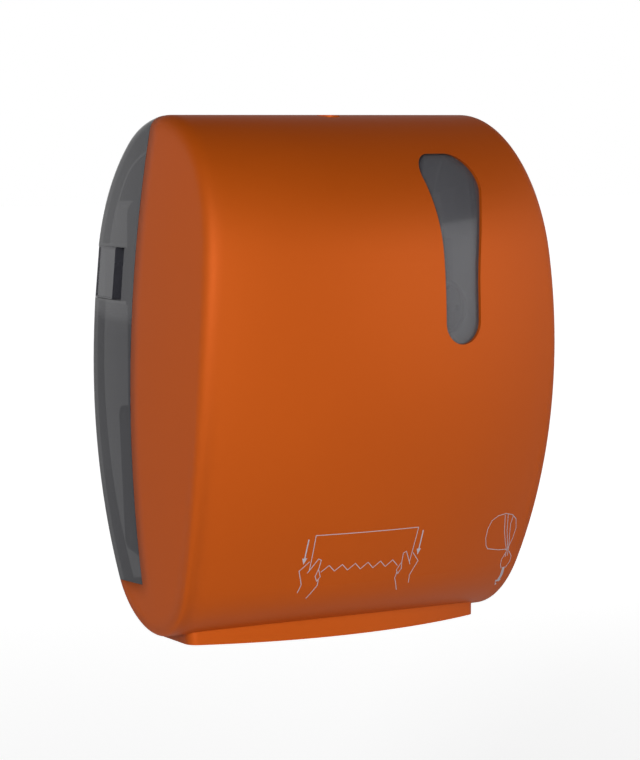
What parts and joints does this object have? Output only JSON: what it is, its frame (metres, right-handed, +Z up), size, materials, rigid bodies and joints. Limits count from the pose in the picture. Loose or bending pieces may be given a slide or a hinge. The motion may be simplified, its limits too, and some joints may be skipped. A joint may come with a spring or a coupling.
{
  "type": "automatic roll towel dispenser",
  "caption": "Wall-mounted roll towel dispenser: hinged orange and smoked cover with a level window over a pull-operated drum that cuts each sheet by itself.",
  "frame": {"origin": "centre of the four wall-screw holes, in the plane of the wall", "axes": "+X to the right as seen from the front, +Y into the wall, +Z up"},
  "size_m": [0.2968, 0.1997, 0.371],
  "materials": {
    "orange": "soft satin moulded plastic",
    "smoked": "smoked translucent, polished",
    "pane": "smoked translucent, polished",
    "dark": "fine moulded texture",
    "grey": "fine moulded texture",
    "steel": "bright zinc plated",
    "chrome": "nickel plated",
    "blade": "stainless, ground",
    "rubber": "matt",
    "brass": "turned",
    "spring": "spring wire",
    "wheel": "moulded, green"
  },
  "bodies": {
    "base": {"back_plate": "grey", "right_cheek": "dark", "left_cheek": "dark", "cheek_screws": "steel", "hinge_pins": "steel", "tie_bars": "steel", "tie_screws": "steel", "drum_bushes": "brass", "latch_keeper": "grey", "keeper_screws": "steel", "front_guide": "dark", "stripper_comb": "dark", "guide_screws": "steel", "cam_ring": "grey", "pinch_pivot_rod": "steel", "arm_pins": "steel", "kick_spring": "spring", "left_housing": "dark", "housing_screws": "steel"},
    "cover": {"front_cover": "orange", "smoked_shell": "smoked", "window_pane": "pane"},
    "lock": {"lock_barrel": "chrome", "lock_tongue": "steel", "tongue_screw": "steel"},
    "drum": {"drum_half_lower": "grey", "drum_half_upper": "grey", "grip_bands": "rubber", "drum_end_right": "dark", "drum_end_left": "dark", "drum_shaft": "steel", "blade_pivot_pins": "steel", "crank_disc": "steel", "crank_pin": "steel", "feed_wheel": "wheel"},
    "blade": {"cutter_blade": "blade", "blade_carrier": "grey", "cam_follower": "steel", "blade_screws": "steel"},
    "pinch_arm": {"pinch_yoke": "dark"},
    "pinch_roller": {"pinch_shaft": "steel", "pinch_rollers": "rubber"},
    "arm_left": {"roll_arm_left": "grey", "hub_screw_left": "steel"},
    "arm_right": {"roll_arm_right": "grey", "hub_screw_right": "steel"},
    "hub_left": {"core_hub_left": "dark"},
    "hub_right": {"core_hub_right": "dark"}
  },
  "joints": [
    {"name": "cover_open", "type": "hinge", "parent": "base", "child": "cover", "pos_m": [0, -0.046, -0.171], "axis": [1, 0, 0], "range_deg": [0, 85]},
    {"name": "lock_turn", "type": "hinge", "parent": "cover", "child": "lock", "pos_m": [0, -0.092, 0.145], "axis": [0, 0, -1], "range_deg": [0, 90]},
    {"name": "drum_spin", "type": "hinge", "parent": "base", "child": "drum", "pos_m": [0, -0.088, -0.107], "axis": [1, 0, 0], "continuous": true, "deforming": ["kick_spring"]},
    {"name": "blade_swing", "type": "hinge", "parent": "drum", "child": "blade", "pos_m": [0, -0.12143, -0.10111], "axis": [-1, 0, 0], "range_deg": [0, 23.9], "stiffness_Nm_per_rad": 0.05, "springref_deg": -11.46},
    {"name": "pinch_lift", "type": "hinge", "parent": "base", "child": "pinch_arm", "pos_m": [0, -0.14337, -0.0884], "axis": [1, 0, 0], "range_deg": [0, 8], "stiffness_Nm_per_rad": 0.8, "springref_deg": -5.73},
    {"name": "pinch_spin", "type": "hinge", "parent": "pinch_arm", "child": "pinch_roller", "pos_m": [0, -0.12498, -0.07002], "axis": [1, 0, 0], "continuous": true},
    {"name": "arm_left_spread", "type": "hinge", "parent": "base", "child": "arm_left", "pos_m": [-0.108, -0.012, 0.025], "axis": [0, 0, -1], "range_deg": [0, 10], "stiffness_Nm_per_rad": 0.8, "springref_deg": -5.73},
    {"name": "arm_right_spread", "type": "hinge", "parent": "base", "child": "arm_right", "pos_m": [0.108, -0.012, 0.025], "axis": [0, 0, 1], "range_deg": [0, 10], "stiffness_Nm_per_rad": 0.8, "springref_deg": -5.73},
    {"name": "hub_left_spin", "type": "hinge", "parent": "arm_left", "child": "hub_left", "pos_m": [-0.095, -0.095, 0.025], "axis": [1, 0, 0], "continuous": true},
    {"name": "hub_right_spin", "type": "hinge", "parent": "arm_right", "child": "hub_right", "pos_m": [0.095, -0.095, 0.025], "axis": [1, 0, 0], "continuous": true}
  ],
  "couplings": [
    {"joint": "pinch_spin", "follows": "drum_spin", "ratio": -4.7778}
  ]
}
